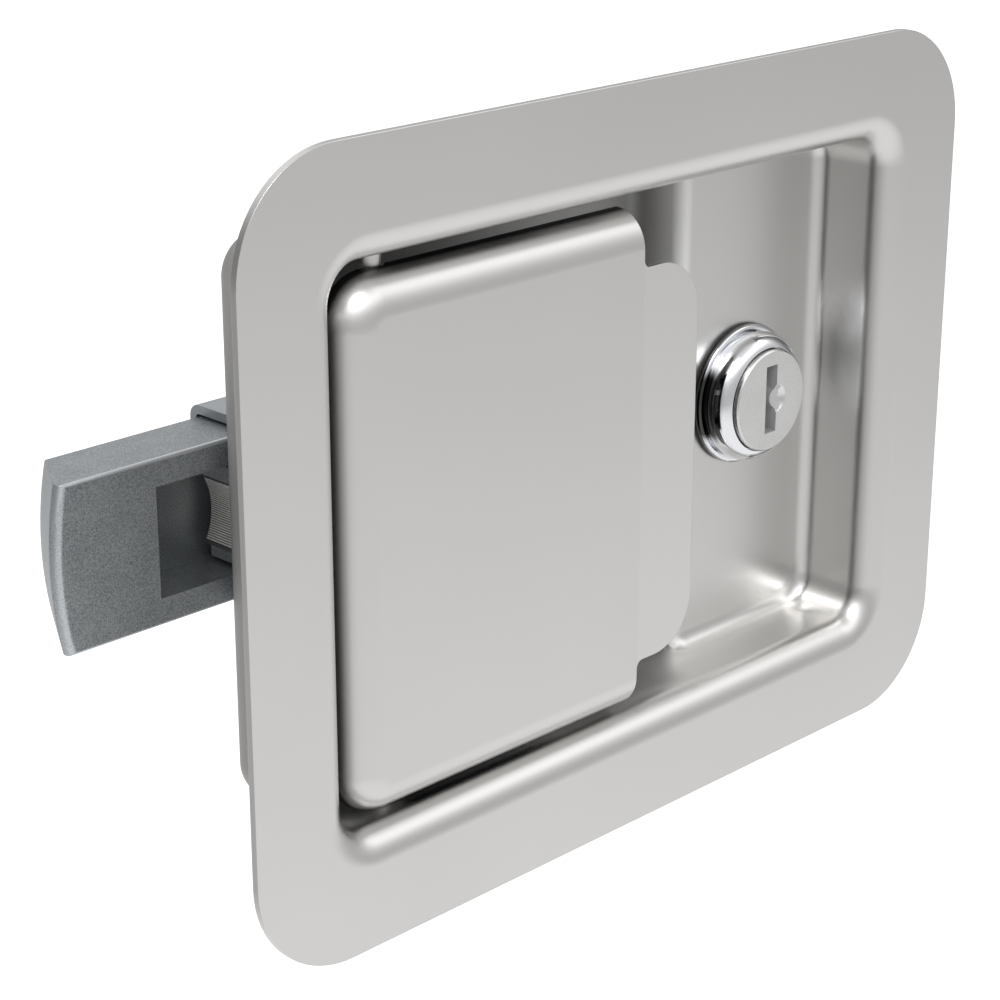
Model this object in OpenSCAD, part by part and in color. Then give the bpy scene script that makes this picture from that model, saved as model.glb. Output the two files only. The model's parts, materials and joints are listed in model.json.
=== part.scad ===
// Flush paddle latch with a spring bolt that snaps shut and a key lock.
// X runs to the right, Y into the door and Z up, in millimetres.
// The origin is the centre of the flange's rear face, which lies on the door panel.

/* [Pan] */
// Width of the flange
flange_w = 123.6; // [122:0.1:130]
// Height of the flange
flange_h = 95.25; // [94:0.05:100]
// Corner radius of the flange
flange_corner = 13.8; // [9:0.1:15]
// Thickness of the pressed sheet
sheet = 0.95; // [0.8:0.05:1.1]
// Width of the dish between its walls
dish_w = 95.5; // [92:0.1:100]
// Height of the dish between its walls
dish_h = 67.2; // [64:0.1:72]
// Corner radius of the dish walls
dish_corner = 4.2; // [3.6:0.1:6]
// Front radius of the rolled rim
rim_r = 3.7; // [2.5:0.1:4]
// Radius where a wall meets a floor
floor_fillet = 2.2; // [1.6:0.1:2.4]
// Depth of the lock floor below the flange front
shallow_depth = 11.7; // [11:0.1:12.2]
// Depth of the finger pocket below the flange front
deep_depth = 19.8; // [19.2:0.1:21]
// Width of the lock floor, from the step to the right wall
lock_bay = 27.25; // [27.2:0.05:29.7]
// Radius of the step's edge
step_r = 2; // [1.5:0.1:2.2]

/* [Paddle] */
// Gap between the paddle and the dish's upper and lower walls
paddle_gap = 1.45; // [1.1:0.05:3]
// How far the paddle hangs below the middle of the dish
paddle_drop = 0.5; // [0:0.05:0.6]
// Gap between the paddle and the dish's left wall
paddle_side = 1.4; // [0.75:0.05:1.75]
// Right end of the paddle, where the tab begins
paddle_right = 1; // [-1:0.1:2]
// Depth of the paddle's face below the flange front
paddle_inset = 0.8; // [0.4:0.1:1.2]
// Thickness of the paddle
paddle_t = 1; // [0.8:0.1:1.2]
// Radius of the rolled edges
roll_r = 4.6; // [3:0.1:4.8]
// Straight lip behind the rolled edges
roll_lip = 0.2; // [0.1:0.05:1]
// Corner radius of the paddle's outline
paddle_corner = 6; // [5.4:0.1:8]
// Right end of the finger tab
tab_right = 10.9; // [10:0.1:13]
// Height of the finger tab
tab_h = 50.8; // [44:0.1:52]
// Corner radius of the finger tab
tab_corner = 6.8; // [4:0.1:8]
// Fillet at the root of the tab
root_r = 1; // [0.5:0.1:1.5]

/* [Pivot and drive] */
// Radius of the pivot pin
pin_r = 1.4; // [1.2:0.05:1.5]
// Distance from the paddle's left end to the pin
pin_inset = 8.35; // [8.3:0.05:9.2]
// Distance from the lever's plate to the pin's axis
pin_rise = 3.1; // [2.9:0.05:3.4]
// Swing of the paddle
swing = 30; // [20:1:30]
// Reach of the drive nose's axis into the bolt
nose_in = 2.6; // [2.1:0.1:2.7]
// Half width of the drive nose
nose_r = 3.1; // [2.8:0.1:3.2]
// Height of the drive nose
nose_h = 12.2; // [10:0.1:12.6]
// Play above and below the drive nose
nose_play = 0.6; // [0.4:0.1:0.9]

/* [Bolt] */
// Height of the bolt
bolt_h = 20; // [18:0.1:20.4]
// Thickness of the bolt
bolt_t = 8.9; // [8.6:0.1:9.4]
// Tip of the bolt when it is thrown
bolt_tip = -71.4; // [-73:0.1:-70]
// Length of the bolt behind its pocket
tail_l = 9.34; // [8.4:0.02:10.4]
// Radius of the bolt's rounded end
end_r = 46; // [40:0.5:60]
// Setback of the ramp on the back of the bolt's end
ramp = 5; // [3:0.1:5.5]
// Left end of the pocket in the bolt's front
pocket_left = -56.75; // [-58:0.05:-56]

/* [Lock] */
// Distance from the dish's right wall to the lock's axis
lock_in = 14.95; // [14.4:0.05:15.1]
// Radius of the bezel's base
bezel_r = 9.47; // [9.2:0.01:9.6]
// Radius of the plug's face
plug_face_r = 6.86; // [6.7:0.02:6.9]
// Height of the plug's face above the lock floor
lock_rise = 5.4; // [5:0.1:5.8]
// Radius of the lock's barrel
barrel_r = 7.9; // [7.6:0.1:8]
// Reach of the turned cam past the hook's stem
cam_reach = 1.45; // [1:0.05:2.4]

/* [Fixing] */
// Distance between studs along the latch
stud_x = 88; // [80:1:92]
// Distance from the rim to the studs' axes
stud_margin = 2.9; // [2.65:0.05:3.65]
// Radius of the studs
stud_r = 2; // [1.5:0.1:2]
// Length of the studs
stud_l = 10; // [8:0.5:10]

/* [Hidden] */
$fn = 48;

// Play of a pin in a hole, of a piece beside its neighbour and of the bolt in its channel
pin_play = 0.05;
side_play = 0.3;
bolt_play = 0.15;
hole_play = 0.1;
// How far a cut runs on past a surface, and how far a rolled edge laps over its plate
cut = 1;
lap = 0.4;

// Dish
half_w = dish_w / 2;
half_h = dish_h / 2;
shallow_y = shallow_depth - sheet;
deep_y = deep_depth - sheet;
shallow_back = shallow_y + sheet;
pan_back = deep_y + sheet;
step_x = half_w - lock_bay;
step_axis = [step_x + step_r, shallow_y + step_r];

// Depths of the guide plate and the bolt
guide_t = 0.7;
guide_edge = 1.2;
guide_back = pan_back + guide_t;
bolt_front = guide_back + bolt_play;
bolt_back = bolt_front + bolt_t;
bolt_mid = (bolt_front + bolt_back) / 2;

// Paddle
paddle_h = dish_h - 2 * paddle_gap;
paddle_left = paddle_side - half_w;
paddle_y = paddle_inset - sheet;
paddle_back = paddle_y + paddle_t;

// Place of the lock and of the hook behind the paddle
lock_x = half_w - lock_in;
hook_t = 1.5;
hook_in = 5.75;
hook_x = paddle_right - hook_in;
hook_pad = 7.25;
hook_pad_left = hook_x - hook_pad;

// Lever: plate, ribs, lugs, arm and drive nose
base_t = 1.6;
base_back = paddle_back + base_t;
pin_x = paddle_left + pin_inset;
pin_y = base_back + pin_rise;
pivot = [pin_x, pin_y];
base_reach = 3.5;
base_left = pin_x - base_reach;
base_gap = 2;
base_right = hook_pad_left - base_gap;
base_h = 41;
base_corner = 3;
rib_t = 1.6;
rib_h = 3;
rib_end = 2;
boss_r = 3.6;
lug_in = 15;
lug_t = 3.5;
web_t = 4;
arm_l = (bolt_front + nose_in - pin_y) / cos(swing / 2);
nose = pivot + arm_l * [-sin(swing / 2), cos(swing / 2)];
nose_front = 2.6;
nose_back = 2.9;
groove_r = 8.2;
groove_d = 1.1;
slit_z = 3.3;
slit_t = 0.8;
slit_d = 1.5;
heel_h = 1.8;
heel_d = 0.8;
bolt_throw = 2 * arm_l * sin(swing / 2);
stud_edge = 6;
lever_stud = [base_right - stud_edge, 13];
lever_stud_l = 6.4;
lever_nut_t = 3.2;
lever_nut_r = 4;

// Slot in the floor and in the guide plate for the lever
slot_play = 0.4;
slot_half = (guide_back - pin_y) * tan(swing / 2) + web_t / (2 * cos(swing / 2)) + slot_play;
slot_left = pin_x - slot_half;
slot_right = pin_x + slot_half + slot_play;
slot_h = nose_h + 2 * nose_play;
slot_r = 1.5;

// Bolt and its housing
bolt_edge = 0.5;
end_edge = 1;
ramp_a = atan2(ramp, bolt_t);
pocket_h = slot_h;
pocket_right = nose.x + nose_r + side_play;
pocket_room = 0.78;
pocket_d = nose_in + arm_l * (1 - cos(swing / 2)) + nose_r + pocket_room;
bolt_tail = pocket_right + tail_l;
seat_d = 6;
spring_seat = bolt_tail - seat_d;
spring_bore_r = 2.9;
wall = 1.1;
bend_r = 0.5;
housing_in = bolt_h / 2 + side_play;
housing_back = bolt_back + bolt_play;
housing_set = 0.8;
housing_left = slot_left + housing_set;
tail_room = 6.5;
housing_right = bolt_tail + bolt_throw + tail_room + wall;
rivet_in = 3;
rivet_z = housing_in + wall + rivet_in;
rivet_left = 1;
rivet_right = 5.1;
rivet_x = [pin_x - rivet_left, housing_right - rivet_right];
foot_edge = 2.6;
foot_z = rivet_z + foot_edge;
window_w = 14;
window_h = 7;
window_r = 2;
rivet_r = 1.5;
rivet_head_r = 2.5;
rivet_head_t = 1.2;
rivet_tail_t = 0.6;
rivet_dome_r = 3.2;
rod_r = 1.6;
rod_room = 1;
rod_end = spring_seat + bolt_throw + rod_room;
rod_chamfer = 0.4;
rod_head_r = 2.8;
rod_head_t = 1.2;

// Weld studs and pivot pin
stud_z = dish_h + 2 * (rim_r + stud_margin);
weld_w = 0.6;
weld_t = 0.4;
stud_chamfer = 0.5;
wall_out = half_h + sheet;
pin_head_r = 2.4;
pin_head_t = 1.2;
clip_t = 0.7;
clip_r = 3;
pin_neck_r = 1;
pin_tip = 1.2;
pin_chamfer = 0.4;
clip_notch_r = 0.5;
clip_wall = 0.7;
clip_notch = pin_neck_r + clip_wall;

// Lock
face_y = shallow_y - lock_rise;
base_ring_t = 1.1;
dome_r = 2.5;
dome_in = 0.66;
dome_set = 0.6;
dome_under = 0.5;
dome_y = face_y + dome_set + dome_r;
neck_r = 8.2;
head_t = 2.9;
plug_r = 5.6;
plug_play = 0.07;
face_play = 0.14;
plug_chamfer = 0.2;
barrel_out = 2.3;
barrel_end = pan_back + barrel_out;
cam_play = 0.2;
cam_seat = barrel_end + cam_play;
cam_l = lock_x - hook_x + cam_reach;
cam_t = 2;
cam_w = 9;
cam_hub = 7;
cam_back = cam_seat + cam_t;
square_w = 5;
barrel_flat = 6.7;
key_w = 2.2;
key_h = 9.2;
key_z = 0.2;
key_d = 13;
ward_r = 1.6;
ward_reach = 0.7;
scoop_r = 3;
scoop_d = 0.7;
scoop = [1, 0.1];
wafer_count = 5;
wafer_pitch = 1.7;
wafer_start = 4.3;
wafer_first = face_y + wafer_start;
wafer_w = 4.6;
wafer_t = 0.9;
wafer_h = 9.4;
wafer_window = 6.4;
wafer_shift = 0.3;
washer_t = 0.8;
washer_rim = 1.9;
washer_r = barrel_r + washer_rim;
tooth_r = 0.7;
tooth_count = 12;
nut_t = 4;
nut_wall = 1.6;
nut_across = 2 * (barrel_r + nut_wall);
nut_r = nut_across / sqrt(3);
cam_washer_t = 1;
cam_washer_r = 5;
screw_r = 1.9;
screw_head_r = 3.5;
screw_head_t = 2.4;
screw_d = 6;
screw_room = 0.5;
screw_dome_r = 4.5;
cross_l = 4;
cross_w = 0.8;
cross_d = 1.3;

// Lock hook behind the paddle
hook_low = 6;
hook_high = 10.5;
hook_foot_low = -4;
hook_gap = 0.5;
hook_foot = cam_back + hook_gap;
hook_foot_t = 1.7;
hook_end = hook_foot + hook_foot_t;
hook_slot_w = 7.6;
hook_room = 0.8;

// Springs
coil_wire = 0.5;
coil_r = pin_rise - coil_wire - hole_play;
coil_gap = 1.6;
coil_low = nose_h / 2 + coil_gap;
coil_high = lug_in - coil_gap;
coil_turns = 5;
leg_end = 4.2;
spring_wire = 0.35;
spring_r = 2.35;
spring_turns = 11;

steel = "#c9c8c5";
zinc = "#8b9196";
chrome = "#dfe2e4";
dark = "#6a6e72";
brass = "#b9a05c";

// A rectangle with round corners, about the origin
module rounded_rect(w, h, r) {
  square([w - 2 * r, h], center = true);
  square([w, h - 2 * r], center = true);
  for (sx = [-1, 1], sy = [-1, 1])
    translate([sx * (w / 2 - r), sy * (h / 2 - r)])
      circle(r);
}

module ring(outer, inner) {
  difference() {
    circle(outer);
    circle(inner);
  }
}

// A quarter of a ring in the corner that the two signs name
module quarter_ring(outer, inner, sx, sy) {
  intersection() {
    ring(outer, inner);
    translate([min(sx, 0) * outer, min(sy, 0) * outer])
      square(outer);
  }
}

// An outline in X and Z made into a plate from depth y0
module plate(y0, t) {
  translate([0, y0 + t, 0])
    rotate([90, 0, 0])
      linear_extrude(t)
        children();
}

// An outline in Y and Z drawn out from x0 to x1
module along_x(x0, x1) {
  translate([x0, 0, 0])
    rotate([90, 0, 90])
      linear_extrude(x1 - x0)
        children();
}

// An outline in X and Y drawn out from z0 to z1
module along_z(z0, z1) {
  translate([0, 0, z0])
    linear_extrude(z1 - z0)
      children();
}

module both_x() {
  children();
  mirror([1, 0, 0])
    children();
}

module both_z() {
  children();
  mirror([0, 0, 1])
    children();
}

// An outline of radius and depth turned about a line along Y
module turned(x) {
  translate([x, 0, 0])
    rotate([-90, 0, 0])
      rotate_extrude()
        children();
}

// A section of outward distance and depth, run along X at the height z
module run_x(x0, x1, z) {
  translate([x1, 0, z])
    rotate([0, -90, 0])
      linear_extrude(x1 - x0)
        children();
}

// The same section turned round the lower right corner of a frame
module corner_turn(w, h, r) {
  translate([w - r, 0, r - h])
    rotate([-90, 0, 0])
      rotate_extrude(angle = 90)
        translate([r, 0])
          children();
}

// A round wire along a list of points
module wire(path, r, sides = 8) {
  n = len(path);
  points = [for (i = [0:n - 1])
    let (ahead = path[min(i + 1, n - 1)] - path[max(i - 1, 0)])
    let (along = ahead / norm(ahead))
    let (across = cross(along, [0, 0, 1]))
    let (a = across / norm(across))
    let (b = cross(a, along))
    for (k = [0:sides - 1])
      path[i] + r * (cos(360 * k / sides) * a + sin(360 * k / sides) * b)];
  skin = [for (i = [0:n - 2], k = [0:sides - 1])
    let (next = (k + 1) % sides)
    [i * sides + k, i * sides + next, (i + 1) * sides + next, (i + 1) * sides + k]];
  first = [for (k = [0:sides - 1]) sides - 1 - k];
  last = [for (k = [0:sides - 1]) (n - 1) * sides + k];
  polyhedron(points = points, faces = concat(skin, [first], [last]));
}

// The rolled rim and the upper part of the wall
module rim_section() {
  translate([rim_r, rim_r - sheet])
    quarter_ring(rim_r, rim_r - sheet, -1, -1);
  translate([0, rim_r - sheet])
    square([sheet, shallow_y - floor_fillet - rim_r + sheet]);
}

module fillet_section(floor_y) {
  translate([-floor_fillet, floor_y - floor_fillet])
    quarter_ring(floor_fillet + sheet, floor_fillet, 1, 1);
}

// The lower part of the wall round the finger pocket
module deep_section() {
  translate([0, shallow_y - floor_fillet])
    square([sheet, deep_y - shallow_y]);
  fillet_section(deep_y);
}

module pan_rim() {
  both_x()
    along_z(dish_corner - half_h, half_h - dish_corner)
      translate([half_w, 0])
        rim_section();
  both_z()
    run_x(dish_corner - half_w, half_w - dish_corner, half_h)
      rim_section();
  both_x()
    both_z()
      corner_turn(half_w, half_h, dish_corner)
        rim_section();
}

// Edges of the lock floor
module shallow_edges() {
  along_z(dish_corner - half_h, half_h - dish_corner)
    translate([half_w, 0])
      fillet_section(shallow_y);
  both_z() {
    run_x(step_axis.x, half_w - dish_corner, half_h)
      fillet_section(shallow_y);
    corner_turn(half_w, half_h, dish_corner)
      fillet_section(shallow_y);
  }
}

// Edges of the finger pocket
module deep_edges() {
  mirror([1, 0, 0])
    along_z(dish_corner - half_h, half_h - dish_corner)
      translate([half_w, 0])
        deep_section();
  both_z() {
    run_x(dish_corner - half_w, step_x - floor_fillet, half_h)
      deep_section();
    mirror([1, 0, 0])
      corner_turn(half_w, half_h, dish_corner)
        deep_section();
  }
}

// The step between the floors: edge, wall and foot
module step_sheet() {
  translate(step_axis)
    quarter_ring(step_r, step_r - sheet, -1, -1);
  translate([step_x, step_axis.y])
    square([sheet, deep_y - floor_fillet - step_axis.y]);
  translate([step_x - floor_fillet, deep_y - floor_fillet])
    quarter_ring(floor_fillet + sheet, floor_fillet, 1, 1);
}

// Where the step runs into the wall of the dish
module step_end() {
  translate([step_axis.x, step_axis.y, half_h - floor_fillet])
    rotate([0, 0, 180])
      rotate_extrude(angle = 90)
        translate([step_r + floor_fillet, 0])
          quarter_ring(floor_fillet + sheet, floor_fillet, -1, 1);
  plate(step_axis.y, deep_y - floor_fillet - step_axis.y)
    translate([step_x - floor_fillet, half_h - floor_fillet])
      quarter_ring(floor_fillet + sheet, floor_fillet, 1, 1);
  translate([step_x - floor_fillet, deep_y - floor_fillet, half_h - floor_fillet])
    rotate_extrude(angle = 90)
      quarter_ring(floor_fillet + sheet, floor_fillet, 1, 1);
  along_z(half_h, half_h + sheet)
    difference() {
      translate([step_x - floor_fillet, shallow_y - floor_fillet])
        square(step_r + floor_fillet);
      translate(step_axis)
        circle(step_r + floor_fillet);
    }
}

module floor_outline(x0, x1) {
  intersection() {
    rounded_rect(dish_w - 2 * floor_fillet, dish_h - 2 * floor_fillet, dish_corner - floor_fillet);
    translate([x0, -half_h])
      square([x1 - x0, dish_h]);
  }
}

// The barrel's outline with its two flats
module barrel_outline(play) {
  intersection() {
    circle(barrel_r + play);
    square([2 * barrel_r + 2 * play, 2 * (barrel_flat + play)], center = true);
  }
}

module lever_slot() {
  translate([(slot_left + slot_right) / 2, 0])
    rounded_rect(slot_right - slot_left, slot_h, slot_r);
}

// The way of the lock hook through the floor
module hook_slot() {
  translate([hook_x - hook_room, hook_foot_low - hook_room])
    square([hook_slot_w, hook_high - hook_foot_low + 2 * hook_room]);
}

module rivet_places() {
  for (x = rivet_x, s = [-1, 1])
    translate([x, s * rivet_z])
      children();
}

module pan() {
  color(steel)
    difference() {
      union() {
        plate(-sheet, sheet)
          difference() {
            rounded_rect(flange_w, flange_h, flange_corner);
            rounded_rect(dish_w + 2 * rim_r, dish_h + 2 * rim_r, dish_corner + rim_r);
          }
        pan_rim();
        shallow_edges();
        deep_edges();
        along_z(floor_fillet - half_h, half_h - floor_fillet)
          step_sheet();
        both_z()
          step_end();
        plate(shallow_y, sheet)
          floor_outline(step_axis.x, half_w);
        plate(deep_y, sheet)
          floor_outline(-half_w, step_x - floor_fillet);
      }
      plate(shallow_y - cut, sheet + 2 * cut)
        translate([lock_x, 0])
          barrel_outline(hole_play);
      plate(deep_y - cut, sheet + 2 * cut) {
        lever_slot();
        hook_slot();
        rivet_places()
          circle(rivet_r + pin_play);
      }
      both_z()
        translate([pin_x, pin_y, half_h - cut])
          cylinder(r = pin_r + pin_play, h = sheet + 2 * cut);
    }
}

// One stud with its weld collar and a chamfered end
module stud(y0, l, r) {
  rotate([-90, 0, 0])
    translate([0, 0, y0]) {
      cylinder(r = r + weld_w, h = weld_t);
      cylinder(r = r, h = l - stud_chamfer);
      translate([0, 0, l - stud_chamfer])
        cylinder(r1 = r, r2 = r - stud_chamfer, h = stud_chamfer);
    }
}

module panel_studs() {
  color(steel)
    for (sx = [-1, 1], sz = [-1, 1])
      translate([sx * stud_x / 2, 0, sz * stud_z / 2])
        stud(0, stud_l, stud_r);
}

module pivot_pin() {
  color(steel)
    translate([pin_x, pin_y, 0]) {
      translate([0, 0, wall_out])
        cylinder(r = pin_head_r, h = pin_head_t);
      translate([0, 0, -wall_out - pin_play])
        cylinder(r = pin_r, h = 2 * wall_out + pin_play);
      translate([0, 0, -wall_out - clip_t - 3 * pin_play])
        cylinder(r = pin_neck_r, h = clip_t + 2 * pin_play);
      translate([0, 0, -wall_out - clip_t - pin_tip])
        cylinder(r1 = pin_r - pin_chamfer, r2 = pin_r, h = pin_tip - 3 * pin_play);
    }
}

// Retaining ring with an open side and three inner lobes
module pin_clip() {
  color(dark)
    translate([pin_x, pin_y, -wall_out - clip_t - 2 * pin_play])
      linear_extrude(clip_t)
        difference() {
          circle(clip_r);
          circle(pin_neck_r + pin_play);
          translate([0, -pin_neck_r])
            square([clip_r + cut, 2 * pin_neck_r]);
          for (a = [90, -90])
            rotate(a)
              translate([clip_notch, 0])
                circle(clip_notch_r);
        }
}

module guide_plate() {
  color(zinc)
    plate(pan_back, guide_t)
      difference() {
        translate([slot_left - guide_edge, -foot_z])
          square([housing_right - slot_left + 2 * guide_edge, 2 * foot_z]);
        lever_slot();
        rivet_places()
          circle(rivet_r + pin_play);
      }
}

// Half of the folded channel: back, bend, side, bend and foot
module housing_section() {
  foot_y = guide_back + wall + bend_r;
  translate([housing_back, 0])
    square([wall, housing_in - bend_r]);
  translate([housing_back - bend_r, housing_in - bend_r])
    quarter_ring(bend_r + wall, bend_r, 1, 1);
  translate([foot_y, housing_in])
    square([housing_back - bend_r - foot_y, wall]);
  translate([foot_y, housing_in + wall + bend_r])
    quarter_ring(bend_r + wall, bend_r, -1, -1);
  translate([guide_back, housing_in + wall + bend_r])
    square([wall, foot_z - housing_in - wall - bend_r]);
}

module bolt_housing() {
  color(zinc)
    difference() {
      union() {
        both_z()
          along_x(housing_left, housing_right)
            housing_section();
        along_x(housing_right - wall, housing_right)
          translate([bolt_front, -housing_in])
            square([housing_back - bolt_front, 2 * housing_in]);
      }
      plate(guide_back - cut, wall + 2 * cut)
        rivet_places()
          circle(rivet_r + pin_play);
      plate(housing_back - cut, wall + 2 * cut)
        translate([(spring_seat + rod_end) / 2, 0])
          rounded_rect(window_w, window_h, window_r);
      translate([housing_right - wall - cut, bolt_mid, 0])
        rotate([0, 90, 0])
          cylinder(r = rod_r + pin_play, h = wall + 2 * cut);
    }
}

// Rivets with a domed head behind and a flat head in the dish
module housing_rivets() {
  color(zinc)
    for (x = rivet_x, s = [-1, 1])
      translate([x, 0, s * rivet_z])
        rotate([-90, 0, 0])
          rotate_extrude() {
            translate([0, deep_y - rivet_tail_t])
              square([rivet_head_r, rivet_tail_t]);
            translate([0, deep_y])
              square([rivet_r, guide_back + wall - deep_y]);
            intersection() {
              translate([0, guide_back + wall + rivet_head_t - rivet_dome_r])
                circle(rivet_dome_r);
              translate([0, guide_back + wall])
                square([rivet_head_r, rivet_head_t]);
            }
          }
}

module spring_rod() {
  color(zinc)
    translate([0, bolt_mid, 0])
      rotate([0, 90, 0]) {
        translate([0, 0, rod_end])
          cylinder(r1 = rod_r - rod_chamfer, r2 = rod_r, h = rod_chamfer);
        translate([0, 0, rod_end + rod_chamfer])
          cylinder(r = rod_r, h = housing_right - rod_end - rod_chamfer);
        translate([0, 0, housing_right])
          cylinder(r = rod_head_r, h = rod_head_t);
      }
}

// Bezel: thin base, neck and a domed ring below the plug's face
module lock_body() {
  color(chrome)
    difference() {
      union() {
        turned(lock_x) {
          translate([0, shallow_y - base_ring_t])
            square([bezel_r - base_ring_t / 2, base_ring_t]);
          translate([bezel_r - base_ring_t / 2, shallow_y - base_ring_t / 2])
            circle(base_ring_t / 2);
          translate([0, dome_y])
            square([neck_r, shallow_y - dome_y]);
          intersection() {
            translate([plug_face_r - dome_in, dome_y])
              circle(dome_r);
            translate([0, face_y])
              square([bezel_r, dome_y + dome_under - face_y]);
          }
        }
        plate(shallow_y, barrel_end - shallow_y)
          translate([lock_x, 0])
            barrel_outline(0);
      }
      turned(lock_x) {
        translate([0, face_y - cut])
          square([plug_face_r + face_play, cut + head_t + hole_play]);
        square([plug_r + plug_play, barrel_end + cut]);
      }
    }
}

module lock_washer() {
  color(zinc)
    plate(shallow_back, washer_t)
      translate([lock_x, 0])
        difference() {
          ring(washer_r, barrel_r + hole_play);
          for (i = [1:tooth_count])
            rotate(360 * i / tooth_count)
              translate([washer_r, 0])
                circle(tooth_r, $fn = 24);
        }
}

module lock_nut() {
  color(zinc)
    plate(shallow_back + washer_t, nut_t)
      translate([lock_x, 0])
        difference() {
          rotate(30)
            circle(nut_r, $fn = 6);
          circle(barrel_r + pin_play);
        }
}

// Rolled edge of the paddle with its lip and the strip that laps over the face
module roll_section() {
  translate([-roll_r - lap, paddle_y])
    square([lap, paddle_t]);
  translate([-roll_r, paddle_y + roll_r])
    quarter_ring(roll_r, roll_r - paddle_t, 1, -1);
  translate([-paddle_t, paddle_y + roll_r])
    square([paddle_t, roll_lip]);
}

module paddle_face() {
  face_left = paddle_left + roll_r;
  face_w = paddle_right - face_left;
  intersection() {
    translate([paddle_right, 0])
      rounded_rect(2 * face_w, paddle_h - 2 * roll_r, paddle_corner - roll_r);
    translate([face_left, -paddle_h / 2])
      square([face_w, paddle_h]);
  }
  intersection() {
    translate([paddle_right, 0])
      rounded_rect(2 * (tab_right - paddle_right), tab_h, tab_corner);
    translate([paddle_right, -tab_h / 2])
      square([tab_right - paddle_right, tab_h]);
  }
  for (s = [-1, 1])
    scale([1, s])
      translate([paddle_right, tab_h / 2])
        difference() {
          square(root_r);
          translate([root_r, root_r])
            circle(root_r);
        }
}

// The stamped paddle, with notches in its rolled edges that clear the pin
module paddle() {
  edge_z = paddle_h / 2 - paddle_corner;
  color(steel)
    difference() {
      translate([0, 0, -paddle_drop]) {
        plate(paddle_y, paddle_t)
          paddle_face();
        mirror([1, 0, 0])
          along_z(-edge_z, edge_z)
            translate([-paddle_left, 0])
              roll_section();
        both_z() {
          run_x(paddle_left + paddle_corner, paddle_right, paddle_h / 2)
            roll_section();
          mirror([1, 0, 0])
            corner_turn(-paddle_left, paddle_h / 2, paddle_corner)
              roll_section();
        }
      }
      translate([pin_x, pin_y, -half_h])
        cylinder(r = pin_r + side_play, h = dish_h);
    }
}

// Outline of the lever's arm from the pin to the drive nose
module arm_outline() {
  translate(pivot) {
    circle(boss_r);
    rotate(swing / 2)
      translate([-web_t / 2, 0])
        square([web_t, arm_l]);
  }
  translate([pin_x - boss_r, paddle_back])
    square([2 * boss_r, pin_y - paddle_back]);
  translate(nose) {
    circle(nose_r);
    translate([-nose_r, -nose_front])
      square([nose_r, nose_front + nose_back]);
  }
}

module lug_outline() {
  translate(pivot)
    circle(boss_r);
  translate([pin_x - boss_r, paddle_back])
    square([2 * boss_r, pin_y - paddle_back]);
}

module drive_lever() {
  color(zinc)
    difference() {
      union() {
        plate(paddle_back, base_t)
          translate([(base_left + base_right) / 2, 0])
            rounded_rect(base_right - base_left, base_h, base_corner);
        along_z(-nose_h / 2, nose_h / 2)
          arm_outline();
        both_z() {
          along_z(lug_in, lug_in + lug_t)
            lug_outline();
          along_z(nose_h / 2 - rib_t, nose_h / 2)
            translate([pin_x, base_back])
              square([base_right - pin_x - rib_end, rib_h]);
        }
      }
      translate([pin_x, pin_y, -base_h / 2])
        cylinder(r = pin_r + pin_play, h = base_h);
      plate(paddle_back - cut, base_t + 2 * cut)
        for (s = [-1, 1])
          translate([lever_stud.x, s * lever_stud.y])
            circle(stud_r + hole_play);
      translate([nose.x - nose_r + groove_d - groove_r, nose.y - nose_front - cut, 0])
        rotate([-90, 0, 0])
          cylinder(r = groove_r, h = nose_front + nose_back + 2 * cut);
      translate([nose.x - nose_r - cut, nose.y - nose_front - cut, slit_z])
        cube([slit_d + cut, nose_front + nose_back + 2 * cut, slit_t]);
      translate([nose.x - nose_r - cut, nose.y - nose_front - cut, -nose_h / 2 - cut])
        cube([heel_d + cut, nose_front + nose_back + 2 * cut, heel_h + cut]);
    }
}

module lever_studs() {
  color(steel)
    for (s = [-1, 1])
      translate([lever_stud.x, 0, s * lever_stud.y])
        rotate([-90, 0, 0])
          translate([0, 0, paddle_back])
            cylinder(r = stud_r, h = lever_stud_l);
}

module lever_nuts() {
  color(zinc)
    plate(base_back, lever_nut_t)
      for (s = [-1, 1])
        translate([lever_stud.x, s * lever_stud.y])
          difference() {
            circle(lever_nut_r, $fn = 6);
            circle(stud_r + pin_play);
          }
}

// Welded pad, stem and foot of the hook
module lock_hook() {
  color(zinc) {
    plate(paddle_back, hook_t)
      translate([hook_pad_left, hook_low])
        square([hook_x + hook_t - hook_pad_left, hook_high - hook_low]);
    along_x(hook_x, hook_x + hook_t) {
      translate([paddle_back, hook_low])
        square([hook_end - paddle_back, hook_high - hook_low]);
      translate([hook_foot, hook_foot_low])
        square([hook_end - hook_foot, hook_low - hook_foot_low]);
    }
  }
}

// Half section of the bolt's end: front, rounded edge and ramp
module bolt_end_section() {
  round_x = end_r - end_edge * (1 + sin(ramp_a)) / cos(ramp_a);
  round_y = bolt_front + end_edge;
  translate([round_x, round_y])
    circle(end_edge);
  polygon([
    [0, bolt_front],
    [round_x, bolt_front],
    [round_x + end_edge * cos(ramp_a), round_y + end_edge * sin(ramp_a)],
    [end_r - ramp, bolt_back],
    [0, bolt_back]
  ]);
}

module latch_bolt() {
  color(zinc)
    difference() {
      intersection() {
        turned(bolt_tip + end_r)
          bolt_end_section();
        along_x(bolt_tip - cut, bolt_tail)
          translate([bolt_mid, 0])
            rounded_rect(bolt_t, bolt_h, bolt_edge);
      }
      plate(bolt_front - cut, pocket_d + cut)
        translate([pocket_left, -pocket_h / 2])
          square([pocket_right - pocket_left, pocket_h]);
      translate([spring_seat, bolt_mid, 0])
        rotate([0, 90, 0])
          cylinder(r = spring_bore_r, h = seat_d + cut);
    }
}

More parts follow.
